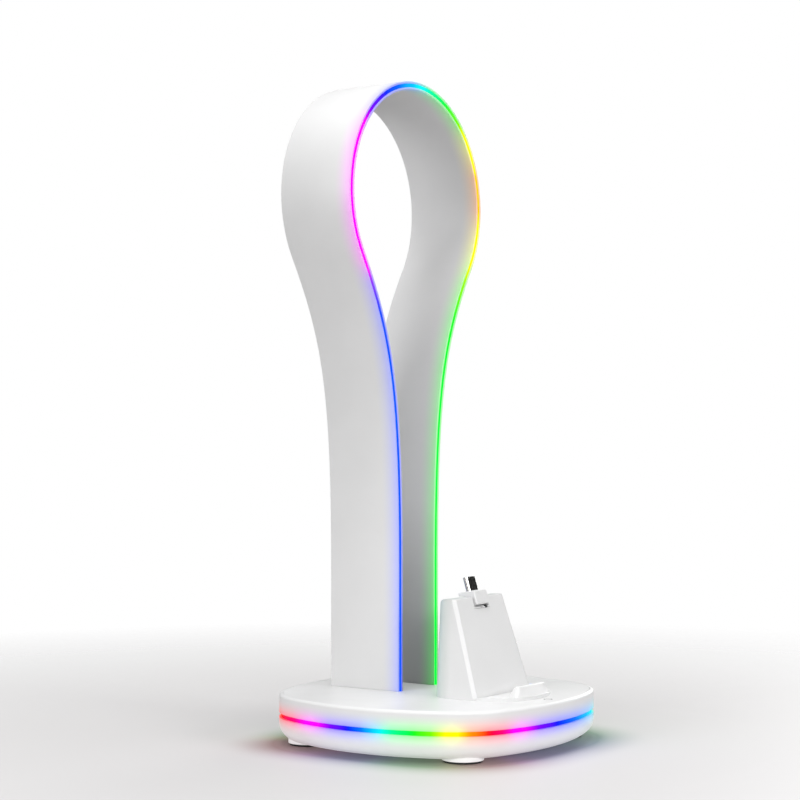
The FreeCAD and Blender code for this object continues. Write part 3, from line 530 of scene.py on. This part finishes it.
def circuit_board():
    tones = ((0.01, 0.09, 0.035), (0.02, 0.15, 0.06))
    nodes, weave = speckled("circuit_board", (0.8 * MM, 4.0), tones, (0.25, 0.4))
    nodes.bump(weave, distance=0.01 * MM, strength=0.3)
    return nodes.material


def inner_plastic():
    return satin_plastic("inner_plastic", (0.62, 0.62, 0.6), 0.55, 0.4 * MM).material


def lamp_package():
    tones = ((0.75, 0.68, 0.3), (0.85, 0.82, 0.6))
    return speckled("lamp_package", (0.5 * MM,), tones, (0.3, 0.45))[0].material


def flex_tape():
    tones = ((0.66, 0.64, 0.58), (0.78, 0.77, 0.73))
    return speckled("flex_tape", (1.5 * MM, 3.0), tones, (0.35, 0.5))[0].material


def grey_print():
    tones = ((0.1, 0.1, 0.105), (0.16, 0.16, 0.165))
    return speckled("grey_print", (0.3 * MM,), tones, (0.5, 0.6))[0].material


def indicator_lens():
    nodes = Nodes("indicator_lens")
    haze = nodes.noise(0.6 * MM)
    glow = nodes.mix_colours(nodes.between(haze, 0, 1), (0.35, 0.42, 1.0, 1), (0.5, 0.58, 1.0, 1))
    nodes.feed("Emission Color", glow)
    nodes.set(Base_Color=(0.5, 0.55, 0.9, 1), Roughness=0.2, Emission_Strength=0.6)
    return nodes.material


def paint(material, *names):
    """Gives CAD nodes a material through their own slots."""
    for name in names:
        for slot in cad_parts[name].material_slots:
            slot.material = material


# ---- mesh helpers --------------------------------------------------------------------
def round_edges(bm, radius, segments=3, least=SHARP_RIBBON_EDGE):
    """Rounds every edge that is sharper than the given angle."""
    sharp = [e for e in bm.edges if e.is_manifold and e.calc_face_angle(0) > least]
    bmesh.ops.bevel(bm, geom=sharp, offset=radius, offset_type="OFFSET", affect="EDGES",
                    segments=segments, profile=0.5, material=-1, clamp_overlap=True)


def add_piece(name, bm, material, body, replaced):
    """Turns a bmesh into a smooth-shaded piece that rides on a body and stands in for CAD nodes."""
    mesh = bpy.data.meshes.new(name)
    for face in bm.faces:
        face.smooth = True
    bm.to_mesh(mesh)
    bm.free()
    mesh.materials.append(bpy.data.materials[material])
    piece = bpy.data.objects.new(name, mesh)
    bpy.context.scene.collection.objects.link(piece)
    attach(piece, body)
    if replaced:
        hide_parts(*replaced)
    return piece


def refine(node, name, radius, material, body):
    """Replaces a CAD node by a copy of it whose sharp edges are softly rounded."""
    bm = bmesh.new()
    bm.from_mesh(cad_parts[node].data)
    bmesh.ops.remove_doubles(bm, verts=bm.verts, dist=SEAM_MERGE)
    round_edges(bm, radius, least=SHARP_NODE_EDGE)
    piece = add_piece(name, bm, material, body, [node])
    even = piece.modifiers.new("Even shading", "WEIGHTED_NORMAL")
    even.weight = 90
    even.keep_sharp = True


def add_new_piece(name, bm, material, replaced):
    """Adds a piece of the stand that was modelled here, with its faces turned outwards."""
    bmesh.ops.recalc_face_normals(bm, faces=bm.faces)
    add_piece(name, bm, material, STAND, replaced)


def flank_point(part):
    """Point and heading on the flank's middle line; part runs from leg (0) to crown (1)."""
    start = Vector((LEG_X, LEG_TOP_Z))
    end = Vector((
        LOOP_RADIUS * math.cos(FLANK_ANGLE), LOOP_CENTRE_Z - LOOP_RADIUS * math.sin(FLANK_ANGLE)))
    lower = start + Vector((0, FLANK_LOWER_PULL))
    upper = end - Vector((math.sin(FLANK_ANGLE), math.cos(FLANK_ANGLE))) * FLANK_UPPER_PULL
    rest = 1 - part
    point = start * rest ** 3 + lower * 3 * rest ** 2 * part + upper * 3 * rest * part ** 2 + end * part ** 3
    heading = (lower - start) * rest ** 2 + (upper - lower) * 2 * rest * part + (end - upper) * part ** 2
    return Vector((point.x, 0, point.y)), math.atan2(heading.x, heading.y)


def sweep_ribbon(section, bottom):
    """Half of the keyhole, swept from the right foot to the crown, then mirrored.

    section lists (offset from the middle line, y) corners in order.
    """
    bm = bmesh.new()
    corners = [bm.verts.new((LEG_X + offset, y, bottom)) for offset, y in section]
    foot = bm.faces.new(corners)

    def extrude(cap):
        """Draws the ribbon on from its open end; only the foot's own face stays closed."""
        made = bmesh.ops.extrude_face_region(bm, geom=[cap])["geom"]
        if cap is not foot:
            bmesh.ops.delete(bm, geom=[cap], context="FACES_ONLY")
        return next(item for item in made if isinstance(item, bmesh.types.BMFace))

    cap = extrude(foot)
    bmesh.ops.translate(bm, verts=cap.verts, vec=(0, 0, LEG_TOP_Z - bottom))
    point, heading = flank_point(0)
    for step in range(1, FLANK_STEPS + 1):
        cap = extrude(cap)
        next_point, next_heading = flank_point(step / FLANK_STEPS)
        turn = Matrix.Rotation(next_heading - heading, 3, "Y")
        bmesh.ops.rotate(bm, verts=cap.verts, cent=point, matrix=turn)
        bmesh.ops.translate(bm, verts=cap.verts, vec=next_point - point)
        point, heading = next_point, next_heading
    spun = bmesh.ops.spin(
        bm, geom=[cap], cent=(0, 0, LOOP_CENTRE_Z), axis=(0, 1, 0), dvec=(0, 0, 0),
        angle=-(FLANK_ANGLE + math.pi / 2), steps=CROWN_STEPS, use_merge=False,
        use_normal_flip=False, use_duplicate=False)
    last = [item for item in spun["geom_last"] if isinstance(item, bmesh.types.BMFace)]
    bmesh.ops.delete(bm, geom=last + ([cap] if cap.is_valid else []), context="FACES_ONLY")
    everything = bm.verts[:] + bm.edges[:] + bm.faces[:]
    bmesh.ops.mirror(bm, geom=everything, matrix=Matrix.Identity(4), merge_dist=RIBBON_MERGE, axis="X")
    bmesh.ops.remove_doubles(bm, verts=bm.verts, dist=RIBBON_MERGE)
    bmesh.ops.recalc_face_normals(bm, faces=bm.faces)
    return bm


# ---- operators -----------------------------------------------------------------------
class STAND_OT_finishes(bpy.types.Operator):
    """Gives every designed part its own procedural finish"""
    bl_idname = "stand.finishes"
    bl_label = "Finishes"

    def execute(self, context):
        paint(base_plastic(), "base_bottom_shell", "base_top_shell", "base_top_panel")
        paint(shell_plastic(), "dock_face_panel", "dock_seat", "dock_pocket", "dongle_housing",
              "dongle_cover")
        paint(dock_plastic(), "dock_shell")
        paint(diffuser("ring_diffuser", ring_light, settings().ring_strength), "light_ring")
        paint(loop_plastic("loop_plastic", 1.0), "loop_outer_skin")
        # The inner skin's copy of the loop plastic has painted shade low down between the legs.
        paint(loop_plastic("loop_inner_plastic_painted_shade", 0.5), "loop_inner_skin")
        paint(diffuser("strip_diffuser", loop_light, settings().lamp_strength), "loop_light_strip")
        feet = [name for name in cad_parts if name.startswith("foot_pad_")]
        paint(rubber(), *feet)
        paint(black_plastic(), "plug_insert", "power_socket_tongue", "main_board_chips")
        nickel = metal("nickel", (0.72, 0.71, 0.69), 0.16, (1, 1, 0.2))
        paint(nickel, "plug_shell", "power_socket_shell", "dock_magnets", "dongle_keeper")
        zinc = metal("zinc", (0.5, 0.5, 0.52), 0.3, (1, 1, 1))
        paint(zinc, "base_screws", "board_screws", "bracket_screws", "leg_screws", "dock_screws")
        paint(metal("ballast_steel", (0.42, 0.42, 0.43), 0.38, (1, 0.08, 1)), "ballast_plate")
        paint(metal("cast_aluminium", (0.6, 0.6, 0.62), 0.45, (1, 1, 1)), "post_bracket")
        paint(metal("gold_contact", (0.9, 0.62, 0.25), 0.2, (1, 1, 1)), "dock_contacts", "dongle_contacts",
              "touch_sensor")
        paint(circuit_board(), "main_board", "power_board", "dock_board")
        paint(inner_plastic(), "board_posts", "loop_core")
        paint(flex_tape(), "ring_led_tape", "loop_led_tape")
        paint(lamp_package(), "ring_leds", "loop_leds")
        paint(grey_print(), "touch_mark")
        paint(indicator_lens(), "dock_indicator")
        return {"FINISHED"}


class STAND_OT_loop(bpy.types.Operator):
    """Builds the loop's two skins and its light strip as smooth ribbons with rounded edges"""
    bl_idname = "stand.loop"
    bl_label = "Loop"

    def execute(self, context):
        edge = settings().edge_round
        front, back, bottom = SKIN_LOW.y, SKIN_HIGH.y, SKIN_LOW.z
        outer = sweep_ribbon([
            (STRIP_HALF, front), (RIBBON_HALF, front), (RIBBON_HALF, back), (-STRIP_HALF, back),
            (-STRIP_HALF, back - SKIN), (STRIP_HALF, back - SKIN)], bottom)
        round_edges(outer, edge)
        add_new_piece("loop_outer_ribbon", outer, "loop_plastic", ["loop_outer_skin"])
        inner = sweep_ribbon([
            (-RIBBON_HALF, front), (-STRIP_HALF, front), (-STRIP_HALF, back), (-RIBBON_HALF, back)], bottom)
        round_edges(inner, edge)
        add_new_piece("loop_inner_ribbon", inner, "loop_inner_plastic_painted_shade", ["loop_inner_skin"])
        strip_low, strip_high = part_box("loop_light_strip")
        half = STRIP_HALF - STRIP_CLEARANCE
        face = front + STRIP_SET_BACK
        strip = sweep_ribbon([
            (-half, face), (half, face), (half, strip_high.y), (-half, strip_high.y)], strip_low.z)
        round_edges(strip, STRIP_EDGE)
        add_new_piece("loop_light_line", strip, "strip_diffuser", ["loop_light_strip"])
        return {"FINISHED"}


class STAND_OT_base(bpy.types.Operator):
    """Rounds the edges of the base's light ring"""
    bl_idname = "stand.base"
    bl_label = "Base"

    def execute(self, context):
        refine("light_ring", "base_light_line", RING_EDGE, "ring_diffuser", STAND)
        return {"FINISHED"}


class STAND_OT_dock(bpy.types.Operator):
    """Rounds the edges of the dock's face and pocket, and adds the pocket's lens"""
    bl_idname = "stand.dock"
    bl_label = "Dock"

    def execute(self, context):
        refine("dock_face_panel", "dock_face", FACE_EDGE, "shell_plastic", STAND)
        refine("dock_pocket", "dock_tray", POCKET_EDGE, "shell_plastic", STAND)
        bm = bmesh.new()
        turn = OUT_OF_FACE.to_track_quat("Z", "Y").to_matrix().to_4x4()
        place = FACE_FOOT + Vector((LENS_ASIDE, 0, 0)) + UP_FACE * LENS_UP_FACE
        bmesh.ops.create_cone(bm, cap_ends=True, segments=24, radius1=LENS_RADIUS, radius2=LENS_RADIUS,
                              depth=LENS_DEPTH, matrix=Matrix.Translation(place) @ turn)
        round_edges(bm, LENS_EDGE, segments=2)
        add_new_piece("pocket_lens", bm, "black_plastic", [])
        return {"FINISHED"}


class STAND_OT_adapter(bpy.types.Operator):
    """Rounds the edges of the adapter's plug"""
    bl_idname = "stand.adapter"
    bl_label = "Adapter"

    def execute(self, context):
        refine("plug_shell", "adapter_plug", PLUG_EDGE, "nickel", ADAPTER)
        return {"FINISHED"}


class STAND_OT_stage(bpy.types.Operator):
    """Sets the pale floor, the soft lights and the camera"""
    bl_idname = "stand.stage"
    bl_label = "Stage"

    def execute(self, context):
        stage = context.scene.stage_settings
        context.scene.view_settings.view_transform = "Standard"
        self.floor(stage)
        self.surroundings(context, stage)
        for name, place, diameter, share in SOFT_LIGHTS:
            self.soft_light(name, place, diameter, stage.key_power * share)
        self.camera(context, stage)
        return {"FINISHED"}

    def floor(self, stage):
        bm = bmesh.new()
        bmesh.ops.create_grid(bm, x_segments=2, y_segments=2, size=FLOOR_SIZE)
        mesh = bpy.data.meshes.new("floor")
        bm.to_mesh(mesh)
        bm.free()
        floor = bpy.data.objects.new("floor", mesh)
        bpy.context.scene.collection.objects.link(floor)
        nodes = Nodes("floor_paper")
        nodes.set(Roughness=0.55, Specular_IOR_Level=0.2)
        x, y, _ = nodes.axes()
        # Painted shadow round the base: the paper colour darkens towards a dim copy of the ring's colours,
        # painted in for the ring's light in that shadow.
        sides = []
        for axis, half in ((x, BASE_HIGH.x), (y, BASE_HIGH.y)):
            part = nodes.math("DIVIDE", nodes.math("ABSOLUTE", axis), half)
            sides.append(nodes.math("POWER", part, FOOTPRINT_POWER))
        rim = nodes.math("POWER", nodes.math("ADD", *sides), 1 / FOOTPRINT_POWER)
        away = nodes.math("MULTIPLY", nodes.math("SUBTRACT", rim, 1.0), BASE_HIGH.x)
        share = nodes.math("MULTIPLY", falloff(nodes, away, FLOOR_PAINTED_SHADOW_REACH), FLOOR_PAINTED_SHADOW_SHARE)
        glow = nodes.mix_colours(FLOOR_PAINTED_RING_LIGHT, (0.0, 0.0, 0.0, 1.0), ring_light(nodes, 1.0))
        paper = tuple(stage.floor_colour) + (1.0,)
        nodes.feed("Base Color", nodes.mix_colours(share, paper, glow))
        reach = nodes.add("ShaderNodeVectorMath", operation="LENGTH")
        nodes.link(nodes.position(), reach.inputs[0])
        far = nodes.between(reach.outputs["Value"], 0.0, 1.0, FADE_START, FADE_END)
        fade = nodes.add("ShaderNodeMixShader")
        nodes.link(far, fade.inputs[0])
        nodes.link(nodes.shader.outputs[0], fade.inputs[1])
        nodes.link(nodes.add("ShaderNodeBsdfTransparent").outputs[0], fade.inputs[2])
        nodes.link(fade.outputs[0], nodes.tree.nodes["Material Output"].inputs["Surface"])
        mesh.materials.append(nodes.material)

    def surroundings(self, context, stage):
        world = bpy.data.worlds.new("surroundings")
        world.use_nodes = True
        tree = world.node_tree
        room = tree.nodes["Background"]
        room.inputs["Strength"].default_value = stage.room_light
        direction = tree.nodes.new("ShaderNodeTexCoord").outputs["Generated"]
        height = tree.nodes.new("ShaderNodeSeparateXYZ")
        tree.links.new(direction, height.inputs[0])
        sky = tree.nodes.new("ShaderNodeMapRange")
        for index, number in enumerate(SKY_LEVELS, start=1):
            sky.inputs[index].default_value = number
        tree.links.new(height.outputs[2], sky.inputs[0])
        towards_card = tree.nodes.new("ShaderNodeVectorMath")
        towards_card.operation = "DOT_PRODUCT"
        towards_card.inputs[1].default_value = CARD_DIRECTION
        tree.links.new(direction, towards_card.inputs[0])
        card = tree.nodes.new("ShaderNodeMapRange")
        for index, number in enumerate(CARD_LEVELS, start=1):
            card.inputs[index].default_value = number
        tree.links.new(towards_card.outputs["Value"], card.inputs[0])
        level = tree.nodes.new("ShaderNodeMath")
        level.operation = "MULTIPLY"
        tree.links.new(sky.outputs[0], level.inputs[0])
        tree.links.new(card.outputs[0], level.inputs[1])
        tree.links.new(level.outputs[0], room.inputs["Color"])
        white = tree.nodes.new("ShaderNodeBackground")
        white.inputs["Color"].default_value = (1, 1, 1, 1)
        white.inputs["Strength"].default_value = stage.backdrop
        chooser = tree.nodes.new("ShaderNodeMixShader")
        tree.links.new(tree.nodes.new("ShaderNodeLightPath").outputs["Is Camera Ray"], chooser.inputs[0])
        tree.links.new(room.outputs[0], chooser.inputs[1])
        tree.links.new(white.outputs[0], chooser.inputs[2])
        tree.links.new(chooser.outputs[0], tree.nodes["World Output"].inputs["Surface"])
        context.scene.world = world

    def soft_light(self, name, place, size, power):
        lamp = bpy.data.lights.new(name, "AREA")
        lamp.shape = "DISK"
        lamp.size = size
        lamp.energy = power
        light = bpy.data.objects.new(name, lamp)
        light.location = place
        aim = LIGHT_AIM - Vector(place)
        light.rotation_euler = aim.to_track_quat("-Z", "Y").to_euler()
        bpy.context.scene.collection.objects.link(light)

    def camera(self, context, stage):
        data = bpy.data.cameras.new("camera")
        data.lens = stage.lens
        data.sensor_width = 36.0
        data.shift_y = CAMERA_SHIFT
        data.clip_start = 0.01
        data.clip_end = 100.0
        camera = bpy.data.objects.new("camera", data)
        camera.location = CAMERA_PLACE
        heading = Vector((math.cos(CAMERA_HEADING), math.sin(CAMERA_HEADING), 0))
        camera.rotation_euler = heading.to_track_quat("-Z", "Y").to_euler()
        context.scene.collection.objects.link(camera)
        context.scene.camera = camera


class STAND_PT_panel(bpy.types.Panel):
    """Sidebar panel of the stand's pieces and settings"""
    bl_label = "Headphone Stand"
    bl_idname = "STAND_PT_panel"
    bl_space_type = "VIEW_3D"
    bl_region_type = "UI"
    bl_category = "Stand"

    def draw(self, context):
        layout = self.layout
        for group in (context.scene.stand_settings, context.scene.stage_settings):
            for name in group.__annotations__:
                layout.prop(group, name)
        for operator in OPERATORS:
            layout.operator(operator.bl_idname)


OPERATORS = (STAND_OT_finishes, STAND_OT_loop, STAND_OT_base, STAND_OT_dock, STAND_OT_adapter,
             STAND_OT_stage)
CLASSES = (StandSettings, StageSettings) + OPERATORS + (STAND_PT_panel,)


def register():
    for cls in CLASSES:
        bpy.utils.register_class(cls)
    bpy.types.Scene.stand_settings = bpy.props.PointerProperty(type=StandSettings)
    bpy.types.Scene.stage_settings = bpy.props.PointerProperty(type=StageSettings)


def unregister():
    del bpy.types.Scene.stage_settings
    del bpy.types.Scene.stand_settings
    for cls in reversed(CLASSES):
        bpy.utils.unregister_class(cls)


def main():
    register()
    bpy.ops.stand.finishes()
    bpy.ops.stand.loop()
    bpy.ops.stand.base()
    bpy.ops.stand.dock()
    bpy.ops.stand.adapter()
    bpy.ops.stand.stage()


if __name__ == "__main__":
    main()
